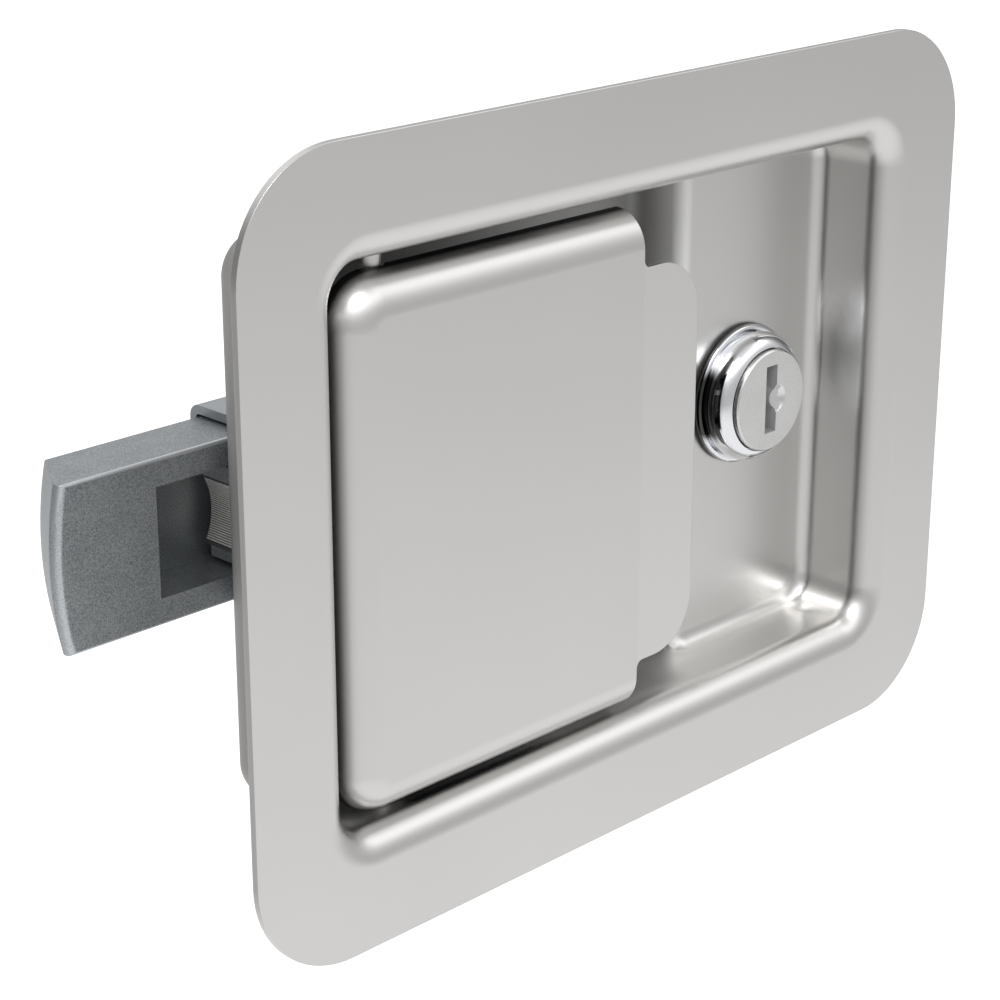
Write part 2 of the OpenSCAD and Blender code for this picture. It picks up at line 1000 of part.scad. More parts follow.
// The key slot with the ward that stands into it
module key_outline() {
  difference() {
    translate([0, key_z])
      square([key_w, key_h], center = true);
    translate([key_w / 2 + ward_r - ward_reach, 0])
      circle(ward_r);
  }
}

module wafer_places() {
  for (i = [0:wafer_count - 1])
    translate([lock_x, wafer_first + i * wafer_pitch, 0])
      children();
}

module lock_plug() {
  color(steel)
    difference() {
      union() {
        turned(lock_x) {
          translate([0, face_y])
            polygon([
              [0, 0],
              [plug_face_r - plug_chamfer, 0],
              [plug_face_r, plug_chamfer],
              [plug_face_r, head_t],
              [0, head_t]
            ]);
          translate([0, face_y])
            square([plug_r, cam_seat - face_y]);
        }
        plate(cam_seat, cam_t - hole_play)
          translate([lock_x, 0])
            square(square_w, center = true);
      }
      plate(face_y - cut, key_d + cut)
        translate([lock_x, 0])
          key_outline();
      translate([lock_x + scoop.x, face_y + scoop_d - scoop_r, scoop.y])
        sphere(scoop_r);
      wafer_places()
        translate([-wafer_w / 2 - hole_play, -hole_play, -wafer_h / 2 - hole_play])
          cube([wafer_w + 2 * hole_play, wafer_t + 2 * hole_play, wafer_h + 2 * hole_play]);
      translate([lock_x, cam_back - screw_d, 0])
        rotate([-90, 0, 0])
          cylinder(r = screw_r + pin_play, h = screw_d + cut);
    }
}

// Wafers with a window for the key, each at its own height
module lock_wafers() {
  color(brass)
    for (i = [0:wafer_count - 1])
      translate([0, wafer_first + i * wafer_pitch, 0])
        plate(0, wafer_t)
          translate([lock_x, 0])
            difference() {
              square([wafer_w, wafer_h], center = true);
              translate([0, wafer_shift * (i % 3 - 1)])
                square([key_w + 2 * hole_play, wafer_window], center = true);
            }
}

module lock_cam() {
  color(zinc)
    plate(cam_seat, cam_t)
      translate([lock_x, 0])
        difference() {
          union() {
            circle(cam_hub);
            translate([-cam_w / 2, cam_w / 2 - cam_l])
              square([cam_w, cam_l - cam_w / 2]);
            translate([0, cam_w / 2 - cam_l])
              circle(cam_w / 2);
          }
          square(square_w + 2 * hole_play, center = true);
        }
}

module cam_washer() {
  color(zinc)
    plate(cam_back, cam_washer_t)
      translate([lock_x, 0])
        ring(cam_washer_r, screw_r + hole_play);
}

// Pan head screw with a cross recess
module cam_screw() {
  head_y = cam_back + cam_washer_t;
  color(zinc)
    difference() {
      turned(lock_x) {
        translate([0, cam_back - screw_d + screw_room])
          square([screw_r, screw_d - screw_room + cam_washer_t + screw_head_t / 2]);
        intersection() {
          translate([0, head_y + screw_head_t - screw_dome_r])
            circle(screw_dome_r);
          translate([0, head_y])
            square([screw_head_r, screw_head_t]);
        }
      }
      plate(head_y + screw_head_t - cross_d, cross_d + cut)
        translate([lock_x, 0]) {
          square([cross_l, cross_w], center = true);
          square([cross_w, cross_l], center = true);
        }
    }
}

// Torsion spring: one leg on the floor, the coil, the other leg on the lever
module paddle_spring() {
  steps = 20;
  coil = [for (i = [0:steps * (coil_turns + 0.25)])
    let (a = -360 * i / steps)
    let (f = i / (steps * (coil_turns + 0.25)))
    [coil_r * cos(a), coil_r * sin(a), coil_low + f * (coil_high - coil_low)]];
  path = concat([[coil_r, deep_y - pin_y - pin_play, coil_low]], coil, [[-leg_end, -coil_r, coil_high]]);
  color(dark)
    translate([pin_x, pin_y, 0])
      wire(path, coil_wire);
}

module bolt_spring() {
  steps = 16;
  low = spring_seat + spring_wire;
  high = housing_right - wall - spring_wire;
  path = [for (i = [0:steps * spring_turns])
    let (a = 360 * i / steps)
    [spring_r * cos(a), spring_r * sin(a), low + (high - low) * i / (steps * spring_turns)]];
  color(dark)
    translate([0, bolt_mid, 0])
      rotate([0, 90, 0])
        wire(path, spring_wire, 6);
}

pan();
panel_studs();
pivot_pin();
pin_clip();
guide_plate();
bolt_housing();
housing_rivets();
spring_rod();
lock_body();
lock_washer();
lock_nut();
paddle();
drive_lever();
lever_studs();
lever_nuts();
lock_hook();
latch_bolt();
lock_plug();
lock_wafers();
lock_cam();
cam_washer();
cam_screw();
paddle_spring();
bolt_spring();
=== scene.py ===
# %% [markdown]
# # Dressing a flush paddle latch
#
# The CAD model gives every piece its true size and place, in metres.
# This lesson adds what a picture needs: light, finishes, broken edges, threads and springs.
# Each cell can be read by itself, and prints what it made.

# %% Load the frame
import json
import math

import bmesh
import bpy
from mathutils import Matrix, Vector


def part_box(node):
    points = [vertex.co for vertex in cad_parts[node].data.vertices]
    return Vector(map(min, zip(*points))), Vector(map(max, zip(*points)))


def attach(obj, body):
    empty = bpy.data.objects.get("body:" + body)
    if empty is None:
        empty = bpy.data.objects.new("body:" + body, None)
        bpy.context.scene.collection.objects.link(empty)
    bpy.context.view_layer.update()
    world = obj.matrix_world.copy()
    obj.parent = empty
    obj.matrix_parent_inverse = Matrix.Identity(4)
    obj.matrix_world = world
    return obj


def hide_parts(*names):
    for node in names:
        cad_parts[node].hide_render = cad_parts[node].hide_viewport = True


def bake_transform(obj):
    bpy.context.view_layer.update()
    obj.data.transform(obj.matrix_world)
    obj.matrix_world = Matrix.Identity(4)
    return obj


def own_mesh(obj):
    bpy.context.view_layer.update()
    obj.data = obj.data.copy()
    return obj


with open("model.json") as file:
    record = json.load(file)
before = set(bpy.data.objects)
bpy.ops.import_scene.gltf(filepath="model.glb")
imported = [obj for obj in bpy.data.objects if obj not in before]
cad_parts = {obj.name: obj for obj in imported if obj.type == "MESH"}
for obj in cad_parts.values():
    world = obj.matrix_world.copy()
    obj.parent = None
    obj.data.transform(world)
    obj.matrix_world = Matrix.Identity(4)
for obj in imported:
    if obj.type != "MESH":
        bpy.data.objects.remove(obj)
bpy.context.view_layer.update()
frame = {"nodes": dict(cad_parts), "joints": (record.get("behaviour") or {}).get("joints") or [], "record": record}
scene = bpy.context.scene
MM = 0.001
SLOT = {row["node"]: row["material_slot"] for row in frame["record"]["subparts"]}
BODY = {node: body for body, nodes in frame["record"]["behaviour"]["bodies"].items() for node in nodes}
JOINT = {row["name"]: row for row in frame["joints"]}

# %% [markdown]
# ## Camera
#
# The camera stands to the left, in front and a little above, as in the photograph.
# Its numbers come from fitting the flange's edges: a long lens from about 29 cm.

# %% Camera
AZIMUTH = math.radians(45.12)
ELEVATION = math.radians(19.98)
DISTANCE = 0.28835
LENS = 90.45
AIM = Vector((-0.0242, -0.00095, 0.00237))

look = Vector((
    math.sin(AZIMUTH) * math.cos(ELEVATION),
    math.cos(AZIMUTH) * math.cos(ELEVATION),
    -math.sin(ELEVATION),
))
lens = bpy.data.cameras.new("camera")
lens.lens = LENS
lens.clip_start = 10 * MM
camera = bpy.data.objects.new("camera", lens)
camera.location = AIM - DISTANCE * look
camera.rotation_euler = look.to_track_quat("-Z", "Y").to_euler()
scene.collection.objects.link(camera)
scene.camera = camera
scene.view_settings.view_transform = "Standard"
print("camera at", [round(v, 4) for v in camera.location])


# %% [markdown]
# ## Node helpers
#
# Worlds, materials and Geometry Nodes are all node trees.
# One small function adds a node, sets its inputs and links the sockets that it is given.
# Others stand for the nodes that are needed most: a colour ramp, a mapped range, arithmetic and a vector's axes.

# %% Node helpers
def put(tree, kind, inputs=None, **settings):
    node = tree.nodes.new(kind)
    for key, value in settings.items():
        setattr(node, key, value)
    for key, value in (inputs or {}).items():
        if isinstance(value, bpy.types.NodeSocket):
            tree.links.new(value, node.inputs[key])
        else:
            node.inputs[key].default_value = value
    return node


def grey(value):
    return (value, value, value)


def ramp(tree, factor, stops):
    """A colour ramp through (position, colour) stops; a number stands for a grey."""
    node = put(tree, "ShaderNodeValToRGB", {"Fac": factor})
    marks = node.color_ramp.elements
    while len(marks) < len(stops):
        marks.new(1.0)
    for mark, (position, colour) in zip(marks, stops):
        mark.position = position
        mark.color = (*(grey(colour) if isinstance(colour, float) else colour), 1)
    return node.outputs["Color"]


def mapped(tree, value, span, to=(0.0, 1.0), shape="LINEAR"):
    """Maps a span to two other values, and holds them beyond its ends."""
    return put(tree, "ShaderNodeMapRange", {
        "Value": value, "From Min": span[0], "From Max": span[1], "To Min": to[0], "To Max": to[1],
    }, interpolation_type=shape).outputs["Result"]


def maths(tree, operation, first, second=0.0):
    return put(tree, "ShaderNodeMath", {0: first, 1: second}, operation=operation).outputs["Value"]


def split(tree, vector):
    return put(tree, "ShaderNodeSeparateXYZ", {"Vector": vector}).outputs


print("helpers for nodes, ramps, ranges, arithmetic and axes")

# %% [markdown]
# ## Studio
#
# Metal shows what surrounds it, so the world is a soft studio: grey at the horizon,
# lighter below from the white floor, and brightest in a broad band overhead.
# That band gives the long light on the rolled edges. It ends above the latch, so the world is darker behind it.
# It is also darker far to the left.

# %% World
SKY = [
    (0.0, 0.98), (0.24, 0.95), (0.29, 0.89), (0.33, 0.81), (0.365, 0.70), (0.415, 0.545), (0.5, 0.52),
    (0.62, 0.6), (0.7, 0.8), (0.79, 1.5), (0.86, 1.55), (0.94, 0.8), (1.0, 0.7),
]
REAR = [(0.36, 1.0), (0.49, 0.45), (0.65, 0.45), (0.83, 0.72)]
LEFT = (-0.9, 0.44, 0.0)
LEFT_SPAN, LEFT_SHADE = (0.3, 0.95), (1.0, 0.45)
HORIZON = (-0.1, 0.3)
FROM_END_TO_END = (-1.0, 1.0)


def studio_world():
    world = bpy.data.worlds.new("studio")
    world.use_nodes = True
    scene.world = world
    tree = world.node_tree
    tree.nodes.clear()
    direction = put(tree, "ShaderNodeTexCoord").outputs["Generated"]
    axes = split(tree, direction)
    sky = ramp(tree, mapped(tree, axes["Z"], FROM_END_TO_END), SKY)
    left = put(tree, "ShaderNodeVectorMath", {0: direction, 1: LEFT}, operation="DOT_PRODUCT").outputs["Value"]
    shade = mapped(tree, left, LEFT_SPAN, LEFT_SHADE)
    rear = ramp(tree, mapped(tree, axes["Y"], FROM_END_TO_END), REAR)
    above = mapped(tree, axes["Z"], HORIZON, (1.0, rear))
    light = put(tree, "ShaderNodeBackground", {"Color": sky, "Strength": maths(tree, "MULTIPLY", shade, above)})
    put(tree, "ShaderNodeOutputWorld", {"Surface": light.outputs["Background"]})


studio_world()
print("world with", len(SKY), "stops from below to overhead")

# %% [markdown]
# ### Soft box and floor
#
# One soft box gives the bright spot on the paddle's corner and on the lock's ring.
# A white floor far below throws light up. It is hidden from reflections, which the world already gives.

# %% Soft box and floor
BOX_TOWARD = Vector((-0.27, -0.46, 0.78)).normalized()
BOX_DISTANCE, BOX_SIDE, BOX_WATTS = 0.7, 0.25, 1.25
FLOOR_REACH, FLOOR_LEVEL = 4.0, -0.3
FLOOR_PAINT = {
    "Base Color": (*grey(0.9), 1), "Roughness": 0.9, "Emission Color": (*grey(1.0), 1), "Emission Strength": 0.6,
}


def soft_box():
    light = bpy.data.lights.new("corner_box", "AREA")
    light.size = BOX_SIDE
    light.energy = BOX_WATTS
    lamp = bpy.data.objects.new("corner_box", light)
    lamp.location = AIM + BOX_DISTANCE * BOX_TOWARD
    lamp.rotation_euler = BOX_TOWARD.to_track_quat("Z", "Y").to_euler()
    scene.collection.objects.link(lamp)


def pale_floor():
    mesh = bpy.data.meshes.new("floor")
    corners = [(x * FLOOR_REACH, y * FLOOR_REACH, 0) for x, y in ((-1, -1), (1, -1), (1, 1), (-1, 1))]
    mesh.from_pydata(corners, [], [(0, 1, 2, 3)])
    floor = bpy.data.objects.new("floor", mesh)
    floor.location.z = FLOOR_LEVEL
    floor.visible_glossy = False
    paint = bpy.data.materials.new("floor_white")
    paint.use_nodes = True
    for key, value in FLOOR_PAINT.items():
        paint.node_tree.nodes["Principled BSDF"].inputs[key].default_value = value
    mesh.materials.append(paint)
    scene.collection.objects.link(floor)


soft_box()
pale_floor()
print("soft box of", BOX_WATTS, "W, floor at", FLOOR_LEVEL, "m")


# %% [markdown]
# ## Metal
#
# Each metal has a colour that drifts a little, a roughness that varies and a fine grain.
# The patterns use object coordinates, so they stay on the metal from every side.
# A piece can have more than one finish: sheet is bright where it was polished and dull where no wheel could reach.
# So a metal can take layers, and several of them are painted shade and painted highlight. Each has a mask that says
# where it lies, and its own colour, roughness and metallic.

# %% Metal
TONE_SPAN, ROUGH_SPAN = (0.35, 0.65), (0.3, 0.7)
BUMP_HEIGHT = 0.2


def blend(tree, share, first, second):
    return put(tree, "ShaderNodeMix", {"Factor": share, 2: first, 3: second}, data_type="FLOAT").outputs[0]


def metal(name, tones, rough, grain, patch, bump=0.0, cloud=0.5, metallic=1.0, layers=()):
    """tones: dark and light colour; rough: lowest and highest; grain and patch: pattern sizes in mm;
    bump: strength of the grain's relief; cloud: share of the large pattern in the colour."""
    material = bpy.data.materials.new(name)
    material.use_nodes = True
    tree = material.node_tree
    shader = tree.nodes["Principled BSDF"]
    shader.inputs["Metallic"].default_value = metallic
    place = put(tree, "ShaderNodeTexCoord").outputs["Object"]
    drift = put(tree, "ShaderNodeTexNoise", {"Vector": place, "Scale": 1 / (patch * MM), "Detail": 2.0}).outputs["Fac"]
    fine = put(tree, "ShaderNodeTexNoise", {"Vector": place, "Scale": 1 / (grain * MM), "Detail": 3.0}).outputs["Fac"]
    colour = ramp(tree, blend(tree, cloud, fine, drift), list(zip(TONE_SPAN, tones)))
    spread = mapped(tree, fine, ROUGH_SPAN, rough)
    shine = metallic
    for mask, (layer_colour, layer_rough, layer_metallic) in layers:
        share = mask(tree, place)
        colour = put(tree, "ShaderNodeMix", {
            "Factor": share, 6: colour, 7: (*layer_colour, 1),
        }, data_type="RGBA").outputs[2]
        spread = blend(tree, share, spread, layer_rough)
        if layer_metallic != shine:
            shine = blend(tree, share, shine, layer_metallic)
    if shine != metallic:
        tree.links.new(shine, shader.inputs["Metallic"])
    tree.links.new(colour, shader.inputs["Base Color"])
    tree.links.new(spread, shader.inputs["Roughness"])
    if bump:
        relief = put(tree, "ShaderNodeBump", {
            "Height": fine, "Strength": bump, "Distance": grain * MM * BUMP_HEIGHT,
        })
        tree.links.new(relief.outputs["Normal"], shader.inputs["Normal"])
    return material


FINISH = {
    "zinc_plate": metal("zinc_plate", ((0.46, 0.49, 0.51), (0.56, 0.59, 0.61)), (0.36, 0.46), 0.3, 6, bump=0.1),
    "wafer_brass": metal("wafer_brass", ((0.62, 0.48, 0.22), (0.74, 0.60, 0.32)), (0.25, 0.38), 0.3, 3, bump=0.05),
    "spring_steel": metal("spring_steel", ((0.30, 0.31, 0.33), (0.44, 0.45, 0.47)), (0.28, 0.40), 0.25, 4, bump=0.05),
}
print("plain finishes:", ", ".join(FINISH))


# %% [markdown]
# ### Masks
#
# A mask is a share between 0 and 1 for each place on the piece.
# Most masks here are soft edges in the latch's own X, Y and height, multiplied where all have to hold.
# One other kind follows faces instead of places: it reads an attribute that a later cell writes.

# %% Mask helpers
def height(tree, axes):
    """How far a place is above or below the latch's middle."""
    return maths(tree, "ABSOLUTE", axes["Z"])


def rise(tree, value, edge, top=1.0):
    """A soft rise from 0 to top across an edge, which is two places in mm."""
    return mapped(tree, value, (edge[0] * MM, edge[1] * MM), (0.0, top), "SMOOTHSTEP")


def all_of(tree, first, *others):
    for share in others:
        first = maths(tree, "MULTIPLY", first, share)
    return first


def any_of(tree, first, second):
    return maths(tree, "MAXIMUM", first, second)


def marked(tree, place):
    """The faces that the script marks: the key slot's dull walls, and painted shade and painted highlight on other
    pieces.
    """
    return put(tree, "ShaderNodeAttribute", attribute_name="dull_and_painted_light").outputs["Fac"]


print("masks by place and by marked face")

# %% [markdown]
# ### Pressed sheet
#
# The pan is satin outside. Deep in the finger pocket, left of the step to the lock floor, it is partly a duller finish
# and partly painted shade.
# On the pocket's upper and lower walls this painted shade fades out softly.
# The walls beside the paddle are painted darkest, as shade, and the roll up to the lock floor is painted palest, as
# light.

# %% Pan
POCKET_DEPTH, POCKET_RIGHT = (2.0, 5.5), (20.6, 20.4)
BETWEEN_WALLS, WALL_SHADE_FADE = (33.0, 31.0), (17.5, 10.5)
BESIDE_RIGHT, BESIDE_LEFT = (-8, -18), (-38, -34)
BESIDE_WALL, BESIDE_DEPTH = (31.5, 33.0), (1.8, 3.2)
STEP_LEFT, STEP_RIGHT = (20.2, 20.4), (22.3, 20.7)
STEP_WALL, STEP_ROLL, STEP_FRONT = (18.0, 12.4), (12.9, 12.7), (10.2, 10.6)
STEP_WALL_TOP = 0.95


def pocket(tree, place):
    """The finger pocket, deep down and left of the step to the lock floor: partly a duller finish, partly painted
    shade.
    """
    axes = split(tree, place)
    floor = all_of(tree, rise(tree, axes["X"], POCKET_RIGHT), rise(tree, height(tree, axes), BETWEEN_WALLS))
    across = any_of(tree, floor, rise(tree, axes["X"], WALL_SHADE_FADE))
    return all_of(tree, rise(tree, axes["Y"], POCKET_DEPTH), across)


def beside_paddle(tree, place):
    """The walls beside the paddle, painted dark as the shade where hardly any light comes in past it."""
    axes = split(tree, place)
    across = all_of(tree, rise(tree, axes["X"], BESIDE_RIGHT), rise(tree, axes["X"], BESIDE_LEFT))
    return all_of(tree, across, rise(tree, height(tree, axes), BESIDE_WALL), rise(tree, axes["Y"], BESIDE_DEPTH))


def step(tree, place):
    """The roll from the pocket up to the lock floor, and the wall just below it, painted pale as light."""
    axes = split(tree, place)
    across = all_of(tree, rise(tree, axes["X"], STEP_LEFT), rise(tree, axes["X"], STEP_RIGHT))
    up = any_of(tree, rise(tree, axes["Y"], STEP_WALL, STEP_WALL_TOP), rise(tree, axes["Y"], STEP_ROLL))
    return all_of(tree, across, up, rise(tree, axes["Y"], STEP_FRONT))


SHEET = {
    "tones": ((0.708, 0.70, 0.687), (0.733, 0.725, 0.712)), "rough": (0.31, 0.34), "grain": 0.12, "patch": 30,
    "bump": 0.01,
}
FINISH["satin_steel"] = metal("satin_steel", **SHEET)
# Partly a duller mill finish, partly painted shade deep in the pocket.
DULL_AND_SHADED_FLOOR = ((0.36, 0.355, 0.35), 0.5, 0.3)
# Painted shade: the walls beside the paddle are near-black.
PAINTED_SHADE_WALL = (grey(0.2), 0.22, 1.0)
# Painted light: the roll up to the lock floor and the wall below it are pale and diffuse, lighter nearer the front.
PAINTED_LIGHT_STEP = ((0.96, 0.955, 0.94), 0.5, 0.0)
COAT = {
    "pan": metal("pan_steel", **SHEET, layers=[(pocket, DULL_AND_SHADED_FLOOR), (beside_paddle, PAINTED_SHADE_WALL), (step, PAINTED_LIGHT_STEP)]),
}
print("sheet: plain, and three more finishes on the pan")

# %% [markdown]
# ### Paddle
#
# The paddle is the same sheet, and its tab has a painted sheen that makes it a little brighter.
# Its edges rolled back into the gap are painted near-black there as shade, and its back and inner faces are painted
# dark as shade, with a duller roughness.

# %% Paddle
TAB_EDGE = (0.9, 1.1)
ROLL_DEPTH, HINGE_SIDE = (2.7, 3.7), (-45.1, -46.3)
HINGE_SHARE = 0.85


def tab(tree, place):
    """The finger tab, right of the paddle's own end, where a brighter sheen is painted."""
    return rise(tree, split(tree, place)["X"], TAB_EDGE)


def gap_shade_on_rolls(tree, place):
    """The paddle's rolled edges where they turn down into the gap, painted near-black as shade."""
    axes = split(tree, place)
    return any_of(tree, rise(tree, axes["Y"], ROLL_DEPTH), rise(tree, axes["X"], HINGE_SIDE, HINGE_SHARE))


# Painted sheen: the tab a little brighter than the rest of the paddle.
PAINTED_SHEEN_TAB = ((0.745, 0.737, 0.723), 0.32, 1.0)
# Painted shade: the rolled edges where they turn into the gap.
PAINTED_SHADE_ROLL = (grey(0.04), 0.45, 1.0)
# Painted shade: the paddle's back and inner faces are darkened, with a duller roughness.
PAINTED_SHADE_BACK = ((0.12, 0.118, 0.116), 0.5, 1.0)
COAT["paddle"] = metal(
    "paddle_steel", **SHEET, layers=[(tab, PAINTED_SHEEN_TAB), (gap_shade_on_rolls, PAINTED_SHADE_ROLL), (marked, PAINTED_SHADE_BACK)],
)
print("paddle: tab, rolled edges and back")

# %% [markdown]
# ### Lock
#
# The lock's ring is polished chrome, so smooth that it shows the studio as a mirror.
# It is painted near-black where it meets the floor, and in its neck on the side of the paddle: painted shade and a
# painted dark reflection.
# The plug's face is satin, and the key slot in it is dull.

# %% Lock
NECK_DEPTH, NECK_SIDE, NECK_HEIGHT = (7.7, 8.3), (28.2, 26.6), (5.4, 3.6)
FOOT_DEPTH, FOOT_END = (9.65, 10.2), (10.9, 10.8)


def ring_foot(tree, place):
    """The lock's base ring where it meets the floor, and its neck on the side of the pocket, painted near-black as
    shade and dark reflection.
    """
    axes = split(tree, place)
    neck = all_of(tree, rise(tree, axes["Y"], NECK_DEPTH), rise(tree, axes["X"], NECK_SIDE))
    neck = all_of(tree, neck, rise(tree, height(tree, axes), NECK_HEIGHT))
    return all_of(tree, any_of(tree, neck, rise(tree, axes["Y"], FOOT_DEPTH)), rise(tree, axes["Y"], FOOT_END))


# Painted shade and dark reflection on the chrome near the floor and in the neck.
PAINTED_DARK_REFLECTION = (grey(0.07), 0.15, 1.0)
DULL_SLOT = (grey(0.42), 0.5, 0.2)
FINISH["lock_chrome"] = metal(
    "lock_chrome", ((0.80, 0.81, 0.83), (0.86, 0.87, 0.89)), (0.05, 0.08), 0.2, 8, layers=[(ring_foot, PAINTED_DARK_REFLECTION)],
)
FINISH["plug_face"] = metal(
    "plug_face", ((0.70, 0.695, 0.69), (0.76, 0.755, 0.75)), (0.26, 0.31), 0.15, 4, bump=0.03,
    layers=[(marked, DULL_SLOT)],
)
print("lock: chrome ring and satin plug")

# %% [markdown]
# ### Castings
#
# Die-cast zinc has a coarse speckle and little drift, so the fine pattern has most of the say.
# The bolt's front edges carry a painted highlight. The lever's nose is painted dark behind its ribs as shade, and the
# ribs are painted pale as a highlight.

# %% Castings
# Painted highlight on the bolt's front edges, brightest on the upper ones.
PAINTED_EDGE_HIGHLIGHT = ((0.86, 0.89, 0.92), 0.28, 1.0)
# Painted shade on the nose's hollow face, behind the ribs.
PAINTED_SHADE_NOSE = (grey(0.08), 0.6, 0.3)
FINISH["cast_zinc"] = metal(
    "cast_zinc", ((0.25, 0.27, 0.285), (0.57, 0.60, 0.62)), (0.3, 0.44), 0.15, 5, bump=0.3, cloud=0.12, metallic=0.8,
    layers=[(marked, PAINTED_EDGE_HIGHLIGHT)],
)
COAT["drive_lever"] = metal(
    "lever_cast", ((0.30, 0.31, 0.32), (0.52, 0.53, 0.54)), (0.36, 0.48), 0.2, 5, bump=0.2, cloud=0.15, metallic=0.8,
    layers=[(marked, PAINTED_SHADE_NOSE)],
)
# Painted highlight: the ribs are the lever's cast metal, painted much paler.
COAT["nose_ribs"] = metal(
    "rib_painted_highlight", ((0.74, 0.715, 0.69), (0.92, 0.895, 0.865)), (0.4, 0.5), 0.2, 5, cloud=0.15, metallic=0.4,
)
print("finishes:", ", ".join(FINISH), "and own ones for", ", ".join(COAT))


# %% [markdown]
# ## Dressed pieces
#
# A piece of the scene stands for a CAD node: it takes the node's finish and slot, and rides on the same body.
# A piece that spans two bodies rides on neither, so riding can be left out.

# %% Standing for a node
def bake(piece):
    """Turns the modifiers of a piece into plain mesh."""
    graph = bpy.context.evaluated_depsgraph_get()
    mesh = bpy.data.meshes.new_from_object(piece.evaluated_get(graph))
    mesh.name = piece.name
    piece.modifiers.clear()
    piece.data = mesh
    return piece


def coat(node):
    return COAT.get(node) or FINISH[SLOT[node]]


def settle(piece, node, rides=True):
    """The piece takes the node's place and finish, and rides on its body."""
    piece.data.materials.clear()
    piece.data.materials.append(coat(node))
    if rides:
        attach(piece, BODY[node])
    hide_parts(node)


print("own finish:", [node for node in SLOT if node in COAT])

# %% [markdown]
# ### Broken edges
#
# A CAD mesh has knife edges, and real metal never does.
# Each solid is copied, its triangles are joined, and a small bevel breaks its edges so that they catch the light.
# The cast bolt has the roundest edges, with more segments.

# %% Broken edges
JOIN_DISTANCE = 2e-6
FLAT_ANGLE, EDGE_ANGLE = math.radians(0.2), math.radians(28)
EDGE = {
    "pan": 0.1, "paddle": 0.12, "pivot_pin": 0.08, "pin_clip": 0.06, "guide_plate": 0.06,
    "bolt_housing": 0.1, "housing_rivets": 0.08, "spring_rod": 0.08, "lock_body": 0.06,
    "lock_washer": 0.06, "lock_nut": 0.15, "drive_lever": 0.1, "lever_nuts": 0.1, "lock_hook": 0.12,
    "latch_bolt": 0.5, "lock_plug": 0.05, "lock_wafers": 0.04, "lock_cam": 0.12, "cam_washer": 0.06,
    "cam_screw": 0.08,
}
SEGMENTS, BOLT_SEGMENTS = 2, 4


def joined_copy(node):
    mesh = frame["nodes"][node].data.copy()
    work = bmesh.new()
    work.from_mesh(mesh)
    bmesh.ops.remove_doubles(work, verts=work.verts, dist=JOIN_DISTANCE)
    bmesh.ops.dissolve_limit(work, angle_limit=FLAT_ANGLE, verts=work.verts, edges=work.edges)
    work.to_mesh(mesh)
    work.free()
    if "custom_normal" in mesh.attributes:
        mesh.attributes.remove(mesh.attributes["custom_normal"])
    mesh.shade_smooth()
    mesh.set_sharp_from_angle(angle=EDGE_ANGLE)
    return mesh


def dress(node, edge):
    piece = bpy.data.objects.new(node + "_dressed", joined_copy(node))
    scene.collection.objects.link(piece)
    bevel = piece.modifiers.new("edges", "BEVEL")
    bevel.width = edge * MM
    bevel.segments = BOLT_SEGMENTS if node == "latch_bolt" else SEGMENTS
    bevel.limit_method = "ANGLE"
    bevel.angle_limit = EDGE_ANGLE
    bevel.harden_normals = True
    normals = piece.modifiers.new("normals", "WEIGHTED_NORMAL")
    normals.keep_sharp = True
    settle(bake(piece), node)
    return piece


dressed = {node: dress(node, edge) for node, edge in EDGE.items()}
print("dressed:", {node: len(piece.data.polygons) for node, piece in dressed.items()})

# %% [markdown]
# ### Marked faces
#
# Some layers follow faces, not places: painted shade on the paddle's back and on the hollow of the lever's nose, a
# dull finish on the walls of the key slot and a painted highlight on the bolt's edges. Each face gets a share in the
# attribute that the mask reads.
# A face of the paddle is an inner one if it looks backwards, or towards the paddle's own middle.

# %% Marked faces
SIDEWAYS = 0.05
FACE_SKIN, SLOT_HALF_WIDTH, SLOT_HALF_HEIGHT = 0.1 * MM, 2 * MM, 5.5 * MM
NOSE_HOLLOW, NOSE_HALF_HEIGHT, LOOKS_LEFT = 1.3 * MM, 5 * MM, -0.8
BOLT_FRONT, BOLT_SIDE, LOOKS_UP = -0.98, -0.12, 0.1
# Shares of the bolt's painted edge highlight: on upper edges, and elsewhere.
HIGHLIGHT_ABOVE, HIGHLIGHT_ELSEWHERE = 0.8, 0.3

low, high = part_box("paddle")
middle = (low + high) / 2
face_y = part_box("lock_plug")[0].y
nose_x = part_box("drive_lever")[0].x
lock_x = JOINT["plug_turn"]["pos_m"][0]


def mark(piece, rule):
    shares = [float(rule(face.center, face.normal)) for face in piece.data.polygons]
    piece.data.attributes.new("dull_and_painted_light", "FLOAT", "FACE").data.foreach_set("value", shares)
    return int(sum(shares))


# Faces that take the paddle's painted shade.
def paddle_inside(place, normal):
    outward = Vector((place.x - middle.x, 0, place.z - middle.z))
    return normal.y > SIDEWAYS or (abs(normal.y) <= SIDEWAYS and normal.dot(outward) < 0)


def key_slot(place, normal):
    inside = abs(place.x - lock_x) < SLOT_HALF_WIDTH and abs(place.z) < SLOT_HALF_HEIGHT
    return inside and place.y > face_y + FACE_SKIN


# The nose's hollow face, which takes painted shade.
def nose_face(place, normal):
    return place.x < nose_x + NOSE_HOLLOW and normal.x < LOOKS_LEFT and abs(place.z) < NOSE_HALF_HEIGHT


def bolt_edge(place, normal):
    """A painted highlight round the bolt's front edges, brightest where they look up."""
    return (BOLT_FRONT < normal.y < BOLT_SIDE) * (HIGHLIGHT_ABOVE if normal.z > LOOKS_UP else HIGHLIGHT_ELSEWHERE)


RULES = {"latch_bolt": bolt_edge, "paddle": paddle_inside, "lock_plug": key_slot, "drive_lever": nose_face}
print("marked faces:", {node: mark(dressed[node], rule) for node, rule in RULES.items()})

